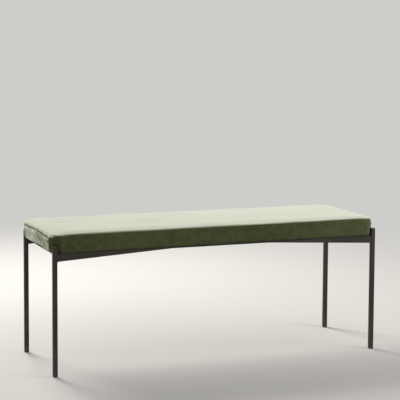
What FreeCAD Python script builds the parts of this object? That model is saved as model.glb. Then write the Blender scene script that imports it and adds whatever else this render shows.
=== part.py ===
"""Upholstered bench: a velvet seat pad bolted on a welded frame of square tube.

Millimetres, +Z up, +X along the bench, front at -Y. The origin is on the floor, under the
middle of the seat. An inset is a distance inwards from the outer faces of the legs.
"""
import FreeCAD
import Part
import math
import os

# Legs
BENCH_LENGTH = 1200.0       # over the outer faces of the legs
BENCH_DEPTH = 390.0         # over the front and back faces of the legs
SEAT_LINE = 415.5           # floor to the steel face that the seat pad rests on
TIP_RISE = 26.5             # how far the legs rise past the seat line
TUBE_SIDE = 15.0
TUBE_WALL = 1.2
TUBE_ARRIS = 1.5            # outer corner radius of the square tube
CAP_THICKNESS = 2.0
CAP_STEM = 10.0
GLIDE_THICKNESS = 4.0
GLIDE_STEM = 14.0
GLIDE_EASE = 0.8            # eased lower arris of a glide
PLUG_CLEARANCE = 0.15       # between a plug's stem and the tube's bore, each side
PLUG_TAPER = 1.0            # how far a plug's free end draws in, each side

# Rails, bars and welds
STEEL = 3.0                 # thickness of rails, webs and bars
RAIL_WIDTH = 40.0
RAIL_DEPTH = 26.0           # depth of a rail with its web, where they meet a leg
RAIL_FLAT = 360.0           # length at mid-rail that has no web
BAR_WIDTH = 40.0
END_BAR_INSET = 5.0         # to the outer edge of an end bar
FILLET_WELD = 3.5
STITCH_LENGTH = 25.0        # each stitch of weld between a web and its rail
STITCHES = 3
STITCH_MARGIN = 50.0        # from a leg to the first stitch
STITCH_PITCH = 95.0
BUTT_WELD_WIDTH = 5.0
BUTT_WELD_CROWN = 0.9

# Seat pad
COVER = 1.5                 # velvet with its backing
WADDING = 6.0
BOARD = 15.0
DUST_COVER = 0.6
HEM = 50.0                  # velvet turned under, from the board's edge
DUST_COVER_MARGIN = 7.0     # from the board's edge to the dust cover's
PAD_INSET = 1.0             # to the pad's side, as high as the legs stand beside it
LEG_CLEARANCE = 1.0         # between a leg and the pad's rounded corner
CAP_CLEARANCE = 0.5         # between a leg's cap and the pad where it swells over it
PAD_BULGE = 1.5             # how far the side swells out past the legs' outer faces
BULGE_EASE = 9.0            # how much smaller the radius of the pad's corner is there
SWELL_RISE = 14.0           # height of the swell over the caps
ROLL_HEIGHT = 25.5          # height of the rolled top edge
ROLL_REACH = 20.0           # how far the rolled edge draws in
ROLL_SQUARENESS = 2.8       # power of the roll's outline: 2 is an ellipse, more is boxier
CROWN = 3.0                 # rise from the rolled edge to the middle of the seat
CROWN_WIDTH = 60.0          # how far that rise spreads inwards
CROWN_CORNER = 20.0         # plan radius at the flat middle of the crown
END_PANEL_MARGIN = 38.0     # inset of an end panel's upright seams from front and back
END_SEAM_DROP = 17.5        # from the crown down to an end panel's top seam

# Fasteners
BOLT_DIAMETER = 5.9
BOLT_HOLE = 6.6
BOLT_TIP_DROP = 1.3         # from the board's top down to the bolt's tip
BOLT_TIP_TAPER = 0.8
HEAD_DIAMETER = 10.5
HEAD_HEIGHT = 3.3
HEAD_FLAT = 6.0
SOCKET_ACROSS_FLATS = 4.0
SOCKET_DEPTH = 2.0
WASHER_DIAMETER = 12.0
WASHER_BORE = 6.4
WASHER_THICKNESS = 1.2
RAIL_BOLT_SPACING = 420.0
RAIL_BOLT_MARGIN = 13.0     # from a rail's inner edge to its bolts
TEE_BORE = 6.0
TEE_BARREL = 7.8
TEE_PLATE = 1.2
TEE_PLATE_DIAMETER = 19.0
TEE_SEAT = 4.8              # wood left under a tee nut's barrel
PRONGS = 4
PRONG_LENGTH = 6.0
PRONG_WIDTH = 2.5
PRONG_EDGE = 0.5            # from the plate's rim in to a prong
PRONG_THICKNESS = 1.0
STAPLE_CROWN = 10.0
STAPLE_LEG = 7.0
STAPLE_WIRE = 0.6
STAPLE_PITCH = 60.0
HEM_STAPLE_MARGIN = 22.0    # from the board's edge to the staples through the hem
DUST_STAPLE_MARGIN = 12.0   # from the board's edge to the staples through the dust cover

# Places worked out from the sizes
SIDES = {"left": -1, "right": 1}
FACES = {"front": -1, "back": 1}
HALF_LENGTH = BENCH_LENGTH / 2
HALF_DEPTH = BENCH_DEPTH / 2
LEG_TOP = SEAT_LINE + TIP_RISE
TUBE_BOTTOM = GLIDE_THICKNESS
TUBE_TOP = LEG_TOP - CAP_THICKNESS
TUBE_BORE = TUBE_SIDE - 2 * TUBE_WALL
STEM = TUBE_BORE - 2 * PLUG_CLEARANCE
STEM_ARRIS = TUBE_ARRIS / 3
RAIL_UNDERSIDE = SEAT_LINE - STEEL
WEB_BOTTOM = SEAT_LINE - RAIL_DEPTH
RAIL_EDGE = HALF_DEPTH - RAIL_WIDTH
BETWEEN_LEGS = HALF_LENGTH - TUBE_SIDE
HEM_LINE = SEAT_LINE + DUST_COVER
BOARD_BOTTOM = HEM_LINE + COVER
BOARD_TOP = BOARD_BOTTOM + BOARD
SKIN = COVER + WADDING
BOARD_INSET = PAD_INSET + SKIN
UPRIGHT_TOP = LEG_TOP + CAP_CLEARANCE
WIDEST = UPRIGHT_TOP + SWELL_RISE
PAD_TOP = WIDEST + ROLL_HEIGHT + CROWN
# The pad's corner arc passes the leg's inner arris at the clearance
DIAGONAL = math.sqrt(2)
PAD_CORNER = (DIAGONAL * (TUBE_SIDE - PAD_INSET) + LEG_CLEARANCE) / (DIAGONAL - 1) - TUBE_ARRIS
BULGE_CORNER = PAD_CORNER - BULGE_EASE
HEAD_TOP = RAIL_UNDERSIDE - WASHER_THICKNESS
BOLT_TIP = BOARD_TOP - BOLT_TIP_DROP


def save(shape, node):
    """Write one node, a solid or a group of solids."""
    shape.exportStep("parts/" + node + ".step")


def block(low, high):
    """A box from its lowest to its highest corner."""
    size = [high[i] - low[i] for i in range(3)]
    return Part.makeBox(size[0], size[1], size[2], FreeCAD.Vector(*low))


def cylinder(diameter, x, y, bottom, top):
    """An upright cylinder."""
    return Part.makeCylinder(diameter / 2, top - bottom, FreeCAD.Vector(x, y, bottom))


def prism(points, direction):
    """A straight-sided solid from a flat outline pushed along a direction."""
    corners = [FreeCAD.Vector(*point) for point in points]
    outline = Part.makePolygon(corners + corners[:1])
    return Part.Face(outline).extrude(FreeCAD.Vector(*direction))


def rounded_outline(half_x, half_y, radius, z):
    """A rounded rectangle round the Z axis: four lines and four quarter circles."""
    edges = []
    middle = math.sqrt(0.5) * radius
    for quarter in range(4):
        cosine = round(math.cos(math.pi / 2 * quarter))
        sine = round(math.sin(math.pi / 2 * quarter))
        reach_x, reach_y = (half_x, half_y) if quarter % 2 == 0 else (half_y, half_x)

        def place(x, y):
            return FreeCAD.Vector(cosine * x - sine * y, sine * x + cosine * y, z)

        start = place(reach_x, reach_y - radius)
        bend = place(reach_x - radius + middle, reach_y - radius + middle)
        end = place(reach_x - radius, reach_y)
        edges.append(Part.LineSegment(place(reach_x, radius - reach_y), start).toShape())
        edges.append(Part.Arc(start, bend, end).toShape())
    return Part.Wire(edges)


def slab(inset, radius, bottom, top):
    """A level plate of the bench's outline with rounded corners."""
    outline = rounded_outline(HALF_LENGTH - inset, HALF_DEPTH - inset, radius, bottom)
    return Part.Face(outline).extrude(FreeCAD.Vector(0, 0, top - bottom))


def square_bar(stations, radius):
    """A square bar round the Z axis through (side, height) stations."""
    outlines = [rounded_outline(side / 2, side / 2, radius, z) for side, z in stations]
    return Part.makeLoft(outlines, True, True)


def leg_tube():
    """A length of square tube, open at both ends."""
    outside = square_bar([(TUBE_SIDE, TUBE_BOTTOM), (TUBE_SIDE, TUBE_TOP)], TUBE_ARRIS)
    return outside.cut(square_bar([(TUBE_BORE, TUBE_BOTTOM), (TUBE_BORE, TUBE_TOP)], STEM_ARRIS))


def top_cap():
    """A plastic cap: a plate of the tube's outline, its stem drawn in at the free end."""
    plate = square_bar([(TUBE_SIDE, TUBE_TOP), (TUBE_SIDE, LEG_TOP)], TUBE_ARRIS)
    tip = TUBE_TOP - CAP_STEM
    stem = square_bar([(STEM - 2 * PLUG_TAPER, tip), (STEM, tip + 2 * PLUG_TAPER), (STEM, TUBE_TOP)],
                      STEM_ARRIS)
    return plate.fuse(stem)


def foot_glide():
    """A plastic glide: a foot with its lower arris eased, its stem drawn in at the free end."""
    foot = square_bar([(TUBE_SIDE - 2 * GLIDE_EASE, 0), (TUBE_SIDE, GLIDE_EASE),
                       (TUBE_SIDE, TUBE_BOTTOM)], TUBE_ARRIS)
    tip = TUBE_BOTTOM + GLIDE_STEM
    stem = square_bar([(STEM, TUBE_BOTTOM), (STEM, tip - 2 * PLUG_TAPER),
                       (STEM - 2 * PLUG_TAPER, tip)], STEM_ARRIS)
    return foot.fuse(stem)


def bolt_places():
    """Centres of the seat bolts: three on each rail and one on each end bar."""
    places = []
    for face in FACES.values():
        for step in (-1, 0, 1):
            places.append((step * RAIL_BOLT_SPACING, face * (RAIL_EDGE + RAIL_BOLT_MARGIN)))
    for side in SIDES.values():
        places.append((side * (HALF_LENGTH - END_BAR_INSET - BAR_WIDTH / 2), 0))
    return places


def drill(shape, bottom, top):
    """Cut the bolts' clearance holes between two heights."""
    return shape.cut([cylinder(BOLT_HOLE, x, y, bottom, top) for x, y in bolt_places()])


def rail(face):
    """The front (-1) or back (1) rail: a flat bar notched round the legs."""
    outer = face * HALF_DEPTH
    inner = face * RAIL_EDGE
    reach = HALF_LENGTH - END_BAR_INSET
    behind_leg = face * (HALF_DEPTH - TUBE_SIDE)
    plan = [(-reach, inner), (reach, inner), (reach, behind_leg), (BETWEEN_LEGS, behind_leg),
            (BETWEEN_LEGS, outer), (-BETWEEN_LEGS, outer), (-BETWEEN_LEGS, behind_leg),
            (-reach, behind_leg)]
    steel = prism([(x, y, RAIL_UNDERSIDE) for x, y in plan], (0, 0, STEEL))
    return drill(steel, RAIL_UNDERSIDE, SEAT_LINE)


def rail_web(side, face):
    """A tapered plate on edge under a rail, flush with the leg's front face."""
    outer = face * HALF_DEPTH
    taper = [(side * BETWEEN_LEGS, outer, RAIL_UNDERSIDE), (side * BETWEEN_LEGS, outer, WEB_BOTTOM),
             (side * RAIL_FLAT / 2, outer, RAIL_UNDERSIDE)]
    return prism(taper, (0, -face * STEEL, 0))


def bar_spans():
    """Lowest and highest X of each flat bar, by node."""
    end = HALF_LENGTH - END_BAR_INSET
    return {"end_bar_left": (-end, BAR_WIDTH - end), "end_bar_right": (end - BAR_WIDTH, end),
            "cross_bar": (-BAR_WIDTH / 2, BAR_WIDTH / 2)}


def flat_bar(low_x, high_x):
    """A flat bar between the rails."""
    steel = block((low_x, -RAIL_EDGE, RAIL_UNDERSIDE), (high_x, RAIL_EDGE, SEAT_LINE))
    return drill(steel, RAIL_UNDERSIDE, SEAT_LINE)


def fillet_bead(corner, arm_a, arm_b, run):
    """A hollow-faced weld in the corner between two faces, pushed along run."""
    corner = FreeCAD.Vector(*corner)
    arm_a = FreeCAD.Vector(*arm_a)
    arm_b = FreeCAD.Vector(*arm_b)
    hollow = corner + (arm_a + arm_b) * (1 - math.sqrt(0.5))
    edges = [Part.LineSegment(corner, corner + arm_a).toShape(),
             Part.Arc(corner + arm_a, hollow, corner + arm_b).toShape(),
             Part.LineSegment(corner + arm_b, corner).toShape()]
    return Part.Face(Part.Wire(edges)).extrude(FreeCAD.Vector(*run))


def butt_bead(low_x, high_x, y):
    """A low domed weld under the joint of a bar and a rail."""
    start = FreeCAD.Vector(low_x, y - BUTT_WELD_WIDTH / 2, RAIL_UNDERSIDE)
    crest = FreeCAD.Vector(low_x, y, RAIL_UNDERSIDE - BUTT_WELD_CROWN)
    end = FreeCAD.Vector(low_x, y + BUTT_WELD_WIDTH / 2, RAIL_UNDERSIDE)
    edges = [Part.LineSegment(end, start).toShape(), Part.Arc(start, crest, end).toShape()]
    return Part.Face(Part.Wire(edges)).extrude(FreeCAD.Vector(high_x - low_x, 0, 0))


def frame_welds():
    """Every bead of the frame: at each leg, along each web and under each bar."""
    beads = []
    down = (0, 0, -FILLET_WELD)
    for side in SIDES.values():
        for face in FACES.values():
            leg_inside = side * BETWEEN_LEGS
            leg_back = face * (HALF_DEPTH - TUBE_SIDE)
            front = face * HALF_DEPTH
            web_back = face * (HALF_DEPTH - STEEL)
            along_x = (-side * FILLET_WELD, 0, 0)
            along_y = (0, -face * FILLET_WELD, 0)
            beads.append(fillet_bead((leg_inside, front, WEB_BOTTOM), along_x, down,
                                     (0, -face * STEEL, 0)))
            beads.append(fillet_bead((leg_inside, web_back, WEB_BOTTOM), along_x, along_y,
                                     (0, 0, RAIL_UNDERSIDE - WEB_BOTTOM)))
            beads.append(fillet_bead((leg_inside + side * TUBE_ARRIS, leg_back, RAIL_UNDERSIDE),
                                     along_y, down,
                                     (side * (TUBE_SIDE - END_BAR_INSET - TUBE_ARRIS), 0, 0)))
            for number in range(STITCHES):
                start = BETWEEN_LEGS - STITCH_MARGIN - number * STITCH_PITCH
                beads.append(fillet_bead((side * start, web_back, RAIL_UNDERSIDE), along_y, down,
                                         (-side * STITCH_LENGTH, 0, 0)))
    for low_x, high_x in bar_spans().values():
        for face in FACES.values():
            beads.append(butt_bead(low_x, high_x, face * RAIL_EDGE))
    return Part.makeCompound(beads)


def pad_bands():
    """Bands of stations up the face of the velvet, neighbours sharing one.

    A station is a height, an inset, the direction that the face looks in (degrees up from level)
    and the plan radius of the corners.
    """
    under_roll = []
    for look in (-90, -45, 0):
        turn = math.radians(look)
        inset = PAD_INSET + SKIN * (1 - math.cos(turn))
        under_roll.append((HEM_LINE + SKIN * (1 + math.sin(turn)), inset, look,
                           PAD_CORNER + PAD_INSET - inset))
    upright = [under_roll[-1], (UPRIGHT_TOP, PAD_INSET, 0, PAD_CORNER)]
    swell = []
    for part in (0, 0.25, 0.5, 0.75, 1):
        swing = (1 - math.cos(math.pi * part)) / 2
        slope = math.pi / 2 * math.sin(math.pi * part) * (PAD_INSET + PAD_BULGE) / SWELL_RISE
        swell.append((UPRIGHT_TOP + part * SWELL_RISE, PAD_INSET - swing * (PAD_INSET + PAD_BULGE),
                      -math.degrees(math.atan(slope)), PAD_CORNER - swing * BULGE_EASE))
    roll = []
    for turn in (0, 20, 40, 60, 75, 85):
        across = math.cos(math.radians(turn)) ** (2 / ROLL_SQUARENESS)
        up = math.sin(math.radians(turn)) ** (2 / ROLL_SQUARENESS)
        drawn_in = ROLL_REACH * (1 - across)
        look = math.atan2(up ** (ROLL_SQUARENESS - 1) / ROLL_HEIGHT,
                          across ** (ROLL_SQUARENESS - 1) / ROLL_REACH)
        roll.append((WIDEST + ROLL_HEIGHT * up, drawn_in - PAD_BULGE, math.degrees(look),
                     BULGE_CORNER - drawn_in))
    crown = []
    edge_height, edge_inset, edge_look, edge_corner = roll[-1]
    for part in (0, 0.5, 1):
        crown.append((PAD_TOP - (PAD_TOP - edge_height) * (1 - part) ** 2,
                      edge_inset + part * CROWN_WIDTH, 90 - (90 - edge_look) * (1 - part),
                      edge_corner + part * (CROWN_CORNER - edge_corner)))
    return [under_roll, upright, swell, roll, crown]


def pad_form(depth):
    """The closed form that lies a set depth inside the velvet's face."""
    bands = pad_bands()
    if depth >= SKIN:
        bands[0] = [(BOARD_BOTTOM, PAD_INSET, 0, PAD_CORNER), bands[1][0]]
    faces = []
    ends = []
    for band in bands:
        outlines = []
        for z, inset, look, radius in band:
            inward = depth * math.cos(math.radians(look))
            downward = depth * math.sin(math.radians(look))
            outlines.append(rounded_outline(HALF_LENGTH - inset - inward, HALF_DEPTH - inset - inward,
                                            radius - inward, z - downward))
        faces += Part.makeLoft(outlines, False, False).Faces
        ends += [outlines[0], outlines[-1]]
    shell = Part.makeShell(faces + [Part.Face(ends[0]), Part.Face(ends[-1])])
    shell.sewShape()
    form = Part.makeSolid(shell)
    if form.Volume < 0:
        form.reverse()
    return form


def staple_row(margin, low):
    """Places of a row of staples round the board, each with its crown's direction."""
    inset = BOARD_INSET + margin
    places = []
    rows = ((HALF_LENGTH, HALF_DEPTH, True), (HALF_DEPTH, HALF_LENGTH, False))
    for along, across, is_long_side in rows:
        run = along - inset - STAPLE_PITCH / 2
        count = 2 * int(run / STAPLE_PITCH + 0.5)
        for number in range(count):
            step = (number - (count - 1) / 2) * STAPLE_PITCH
            for way in (-1, 1):
                reach = way * (across - inset)
                x, y = (step, reach) if is_long_side else (reach, step)
                to_bolt = min(math.hypot(x - bolt_x, y - bolt_y) for bolt_x, bolt_y in bolt_places())
                if to_bolt > TEE_PLATE_DIAMETER:
                    places.append((x, y, low, is_long_side))
    return places


def staple(x, y, low, is_long_side):
    """One staple driven upwards, its crown's underside at the given height."""
    outer = STAPLE_CROWN / 2
    inner = outer - STAPLE_WIRE
    outline = [(-outer, 0), (outer, 0), (outer, STAPLE_LEG), (inner, STAPLE_LEG), (inner, STAPLE_WIRE),
               (-inner, STAPLE_WIRE), (-inner, STAPLE_LEG), (-outer, STAPLE_LEG)]
    near = -STAPLE_WIRE / 2
    if is_long_side:
        return prism([(x + along, y + near, low + up) for along, up in outline], (0, STAPLE_WIRE, 0))
    return prism([(x + near, y + along, low + up) for along, up in outline], (STAPLE_WIRE, 0, 0))


def at_each_bolt(shape):
    """Copies of one shape, made at the Z axis, at every seat bolt."""
    return [shape.translated(FreeCAD.Vector(x, y, 0)) for x, y in bolt_places()]


def tee_nut(bored):
    """A pronged tee nut in the board's top, at the Z axis."""
    barrel_bottom = BOARD_BOTTOM + TEE_SEAT
    plate_bottom = BOARD_TOP - TEE_PLATE
    shape = cylinder(TEE_PLATE_DIAMETER, 0, 0, plate_bottom, BOARD_TOP)
    shape = shape.fuse(cylinder(TEE_BARREL, 0, 0, barrel_bottom, BOARD_TOP))
    rim = TEE_PLATE_DIAMETER / 2 - PRONG_EDGE
    blade = prism([(rim, -PRONG_WIDTH / 2, plate_bottom), (rim, PRONG_WIDTH / 2, plate_bottom),
                   (rim, 0, plate_bottom - PRONG_LENGTH)], (-PRONG_THICKNESS, 0, 0))
    for number in range(PRONGS):
        prong = blade.copy()
        prong.rotate(FreeCAD.Vector(0, 0, 0), FreeCAD.Vector(0, 0, 1), 360 / PRONGS * (number + 0.5))
        shape = shape.fuse(prong)
    if bored:
        shape = shape.cut(cylinder(TEE_BORE, 0, 0, barrel_bottom, BOARD_TOP))
    return shape


def seat_bolt():
    """A button-head bolt driven upwards, at the Z axis, with a hexagon socket."""
    profile = [Part.LineSegment(FreeCAD.Vector(0, 0, HEAD_TOP - HEAD_HEIGHT),
                                FreeCAD.Vector(HEAD_FLAT / 2, 0, HEAD_TOP - HEAD_HEIGHT)).toShape(),
               Part.Arc(FreeCAD.Vector(HEAD_FLAT / 2, 0, HEAD_TOP - HEAD_HEIGHT),
                        FreeCAD.Vector((HEAD_FLAT + 2 * HEAD_DIAMETER) / 6, 0, HEAD_TOP - HEAD_HEIGHT / 2),
                        FreeCAD.Vector(HEAD_DIAMETER / 2, 0, HEAD_TOP)).toShape(),
               Part.LineSegment(FreeCAD.Vector(HEAD_DIAMETER / 2, 0, HEAD_TOP),
                                FreeCAD.Vector(0, 0, HEAD_TOP)).toShape(),
               Part.LineSegment(FreeCAD.Vector(0, 0, HEAD_TOP),
                                FreeCAD.Vector(0, 0, HEAD_TOP - HEAD_HEIGHT)).toShape()]
    head = Part.Face(Part.Wire(profile)).revolve(FreeCAD.Vector(0, 0, 0), FreeCAD.Vector(0, 0, 1), 360)
    corner = SOCKET_ACROSS_FLATS / math.sqrt(3)
    hexagon = [(corner * math.cos(math.radians(60 * k)), corner * math.sin(math.radians(60 * k)),
                HEAD_TOP - HEAD_HEIGHT) for k in range(6)]
    head = head.cut(prism(hexagon, (0, 0, SOCKET_DEPTH)))
    taper_start = BOLT_TIP - BOLT_TIP_TAPER
    shank = cylinder(BOLT_DIAMETER, 0, 0, HEAD_TOP, taper_start)
    tip = Part.makeCone(BOLT_DIAMETER / 2, BOLT_DIAMETER / 2 - BOLT_TIP_TAPER, BOLT_TIP_TAPER,
                        FreeCAD.Vector(0, 0, taper_start))
    return head.fuse([shank, tip]).removeSplitter()


def washer():
    """A flat washer under a rail, at the Z axis."""
    disc = cylinder(WASHER_DIAMETER, 0, 0, HEAD_TOP, RAIL_UNDERSIDE)
    return disc.cut(cylinder(WASHER_BORE, 0, 0, HEAD_TOP, RAIL_UNDERSIDE))


def seat_pieces():
    """Every node of the seat pad and its fasteners."""
    hem_staples = [staple(*place) for place in staple_row(HEM_STAPLE_MARGIN, HEM_LINE)]
    dust_staples = [staple(*place) for place in staple_row(DUST_STAPLE_MARGIN, SEAT_LINE)]
    core = pad_form(SKIN)
    lining = pad_form(COVER)

    velvet = pad_form(0).cut(lining)
    hem_edge = BOARD_INSET + HEM
    opening = block((hem_edge - HALF_LENGTH, hem_edge - HALF_DEPTH, HEM_LINE),
                    (HALF_LENGTH - hem_edge, HALF_DEPTH - hem_edge, BOARD_BOTTOM))
    velvet = drill(velvet.cut(opening), HEM_LINE, BOARD_BOTTOM).cut(hem_staples + dust_staples)
    pieces = {}
    ends = []
    for name, side in SIDES.items():
        near = side * (HALF_LENGTH - hem_edge)
        far = side * (HALF_LENGTH + 2 * PAD_BULGE)
        half = HALF_DEPTH - END_PANEL_MARGIN
        ends.append(block((min(near, far), -half, HEM_LINE), (max(near, far), half, PAD_TOP - END_SEAM_DROP)))
        pieces["velvet_end_" + name] = velvet.common(ends[-1])
    pieces["velvet_wrap"] = velvet.cut(ends)
    pieces["wadding"] = lining.cut(core)
    above_board = block((-BENCH_LENGTH, -BENCH_DEPTH, BOARD_TOP), (BENCH_LENGTH, BENCH_DEPTH, PAD_TOP))
    pieces["foam_block"] = core.common(above_board)

    board = slab(BOARD_INSET, PAD_CORNER - SKIN, BOARD_BOTTOM, BOARD_TOP)
    board = board.cut(at_each_bolt(tee_nut(False))).cut(hem_staples + dust_staples)
    pieces["seat_board"] = drill(board, BOARD_BOTTOM, BOARD_BOTTOM + TEE_SEAT)
    dust_cover = slab(BOARD_INSET + DUST_COVER_MARGIN, PAD_CORNER - SKIN - DUST_COVER_MARGIN,
                      SEAT_LINE, HEM_LINE)
    pieces["dust_cover"] = drill(dust_cover.cut(dust_staples), SEAT_LINE, HEM_LINE)
    pieces["hem_staples"] = Part.makeCompound(hem_staples)
    pieces["dust_cover_staples"] = Part.makeCompound(dust_staples)
    pieces["tee_nuts"] = Part.makeCompound(at_each_bolt(tee_nut(True)))
    pieces["seat_bolts"] = Part.makeCompound(at_each_bolt(seat_bolt()))
    pieces["bolt_washers"] = Part.makeCompound(at_each_bolt(washer()))
    return pieces


def frame_pieces():
    """Every node of the steel frame and its plastic plugs."""
    pieces = {}
    for face_name, face in FACES.items():
        pieces[face_name + "_rail"] = rail(face)
        for side_name, side in SIDES.items():
            centre = FreeCAD.Vector(side * (HALF_LENGTH - TUBE_SIDE / 2),
                                    face * (HALF_DEPTH - TUBE_SIDE / 2), 0)
            place = "_" + face_name + "_" + side_name
            pieces["leg" + place] = leg_tube().translated(centre)
            pieces["top_cap" + place] = top_cap().translated(centre)
            pieces["foot_glide" + place] = foot_glide().translated(centre)
            pieces["rail_web" + place] = rail_web(side, face)
    for node, (low_x, high_x) in bar_spans().items():
        pieces[node] = flat_bar(low_x, high_x)
    pieces["frame_welds"] = frame_welds()
    return pieces


os.makedirs("parts", exist_ok=True)
for nodes in (frame_pieces(), seat_pieces()):
    for node, shape in nodes.items():
        save(shape, node)
        print(node, "solids", len(shape.Solids), "mm3", round(shape.Volume), "valid", shape.isValid())
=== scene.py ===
"""The looks of an upholstered bench: a velvet seat pad bolted on a welded steel frame.

Metres, +Z up, +X along the bench, front at -Y. The origin is on the floor, under the middle of the seat.
"""
import math

import bmesh
import bpy
import numpy as np
from mathutils import Matrix, Vector, noise


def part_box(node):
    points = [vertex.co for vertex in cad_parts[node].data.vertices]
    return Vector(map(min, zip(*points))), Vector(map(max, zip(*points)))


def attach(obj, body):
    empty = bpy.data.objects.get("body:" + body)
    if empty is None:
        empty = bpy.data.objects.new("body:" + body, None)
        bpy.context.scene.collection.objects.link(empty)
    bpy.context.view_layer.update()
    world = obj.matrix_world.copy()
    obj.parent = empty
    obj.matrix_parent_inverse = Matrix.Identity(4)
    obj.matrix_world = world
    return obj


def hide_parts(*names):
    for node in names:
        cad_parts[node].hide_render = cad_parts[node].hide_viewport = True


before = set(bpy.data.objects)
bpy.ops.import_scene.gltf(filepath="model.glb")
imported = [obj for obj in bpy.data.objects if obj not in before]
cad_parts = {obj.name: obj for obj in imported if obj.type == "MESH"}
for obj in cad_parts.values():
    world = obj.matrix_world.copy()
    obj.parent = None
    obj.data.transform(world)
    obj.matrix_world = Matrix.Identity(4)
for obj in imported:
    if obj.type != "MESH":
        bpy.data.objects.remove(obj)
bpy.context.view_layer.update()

# Steel frame: four legs of square tube, flat rails with tapered webs, and flat bars, welded up and finished
# with a matt black powder coat. The coat has a fine grain, is knocked grey along the legs' arrises in
# places and holds a little dust near the floor.
SIDES = {"left": -1, "right": 1}
FACES = {"front": -1, "back": 1}
CORNERS = [face + "_" + side for face in FACES for side in SIDES]
STEEL_NODES = ["leg_" + corner for corner in CORNERS] + ["rail_web_" + corner for corner in CORNERS] + [
    "front_rail", "back_rail", "end_bar_left", "end_bar_right", "cross_bar"]
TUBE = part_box("leg_front_right")[1].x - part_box("leg_front_right")[0].x
OUTER_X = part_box("leg_front_right")[1].x
OUTER_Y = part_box("leg_back_right")[1].y
COAT_BLACK = (0.027, 0.0215, 0.0165)
COAT_GREY = (0.041, 0.0335, 0.0265)
COAT_SPECULAR = 0.28
COAT_GRAIN = 1400           # repeats a metre, as in every grain below
COAT_DEPTH = 0.00012
COAT_CLOUDS = 9
COAT_KNOCKED = (0.16, 0.155, 0.15)
KNOCKS = 160
KNOCKED_PLACES = 14
WEAR_START = 0.0016         # how near a tube's two faces the wear on an arris starts
WEAR_FULL = 0.0006
LEG_MARGIN = 0.0005
FLOOR_DUST = (0.17, 0.155, 0.135)
DUST_HEIGHT = 0.045
DUST_SPECKS = 240
DUST_COVERS = 0.55


class Wire:
    """A value on its way through a material. Each sum or product adds a Math node."""

    def __init__(self, finish, socket):
        self.finish = finish
        self.socket = socket

    def math(self, operation, *others):
        values = dict(enumerate((self,) + others))
        return self.finish.node("Math", settings={"operation": operation}, inputs=values)

    def __add__(self, other):
        return self.math("ADD", other)

    __radd__ = __add__

    def __sub__(self, other):
        return self.math("SUBTRACT", other)

    def __rsub__(self, other):
        return (self * -1) + other

    def __mul__(self, other):
        return self.math("MULTIPLY", other)

    __rmul__ = __mul__

    def __truediv__(self, other):
        return self.math("DIVIDE", other)

    def __gt__(self, other):
        return self.math("GREATER_THAN", other)

    def size(self):
        return self.math("ABSOLUTE")

    def smooth(self, low, high):
        """0 below low, 1 above high, and a soft ramp between."""
        return self.finish.node("MapRange", settings={"interpolation_type": "SMOOTHSTEP"},
                                inputs={"Value": self, "From Min": low, "From Max": high})


class Finish:
    """A material under construction round one Principled surface."""

    def __init__(self, name):
        self.material = bpy.data.materials.new(name)
        self.material.use_nodes = True
        self.tree = self.material.node_tree
        self.surface = self.tree.nodes["Principled BSDF"]

    def node(self, kind, output=0, settings=None, inputs=None):
        """One node: its settings first, then its sockets' values or links."""
        made = self.tree.nodes.new("ShaderNode" + kind)
        for name, value in (settings or {}).items():
            setattr(made, name, value)
        for name, value in (inputs or {}).items():
            self.feed(made.inputs[name], value)
        return Wire(self, made.outputs[output])

    def feed(self, target, value):
        """Link a wire to a socket, or set the socket's own value."""
        if isinstance(value, Wire):
            self.tree.links.new(value.socket, target)
        elif target.type == "RGBA":
            target.default_value = (*value, 1)
        else:
            target.default_value = value

    def blend(self, share, first, second):
        """A colour between two colours."""
        return self.node("Mix", output=2, settings={"data_type": "RGBA"},
                         inputs={0: share, 6: first, 7: second})

    def place(self):
        return self.node("TexCoord", output="Object")

    def along(self):
        """The object's own X, Y and Z."""
        return [self.node("SeparateXYZ", output=axis, inputs={"Vector": self.place()}) for axis in "XYZ"]

    def grain(self, scale, detail=2.0, stretch=(1, 1, 1), rough=0.5):
        """Noise on the object's own coordinates, from 0 to 1. Scale is in repeats a metre."""
        place = self.node("Mapping", inputs={"Vector": self.place(), "Scale": stretch})
        return self.node("TexNoise", inputs={"Vector": place, "Scale": scale, "Detail": detail,
                                             "Roughness": rough})

    def bump(self, height, depth, strength=1.0):
        return self.node("Bump", inputs={"Height": height, "Distance": depth, "Strength": strength})

    def give(self, **sockets):
        """Set the surface's sockets, written with underscores for spaces."""
        for name, value in sockets.items():
            self.feed(self.surface.inputs[name.replace("_", " ")], value)
        return self.material


def dress(nodes, material):
    """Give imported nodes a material."""
    for node in nodes:
        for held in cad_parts[node].material_slots:
            held.material = material


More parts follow.
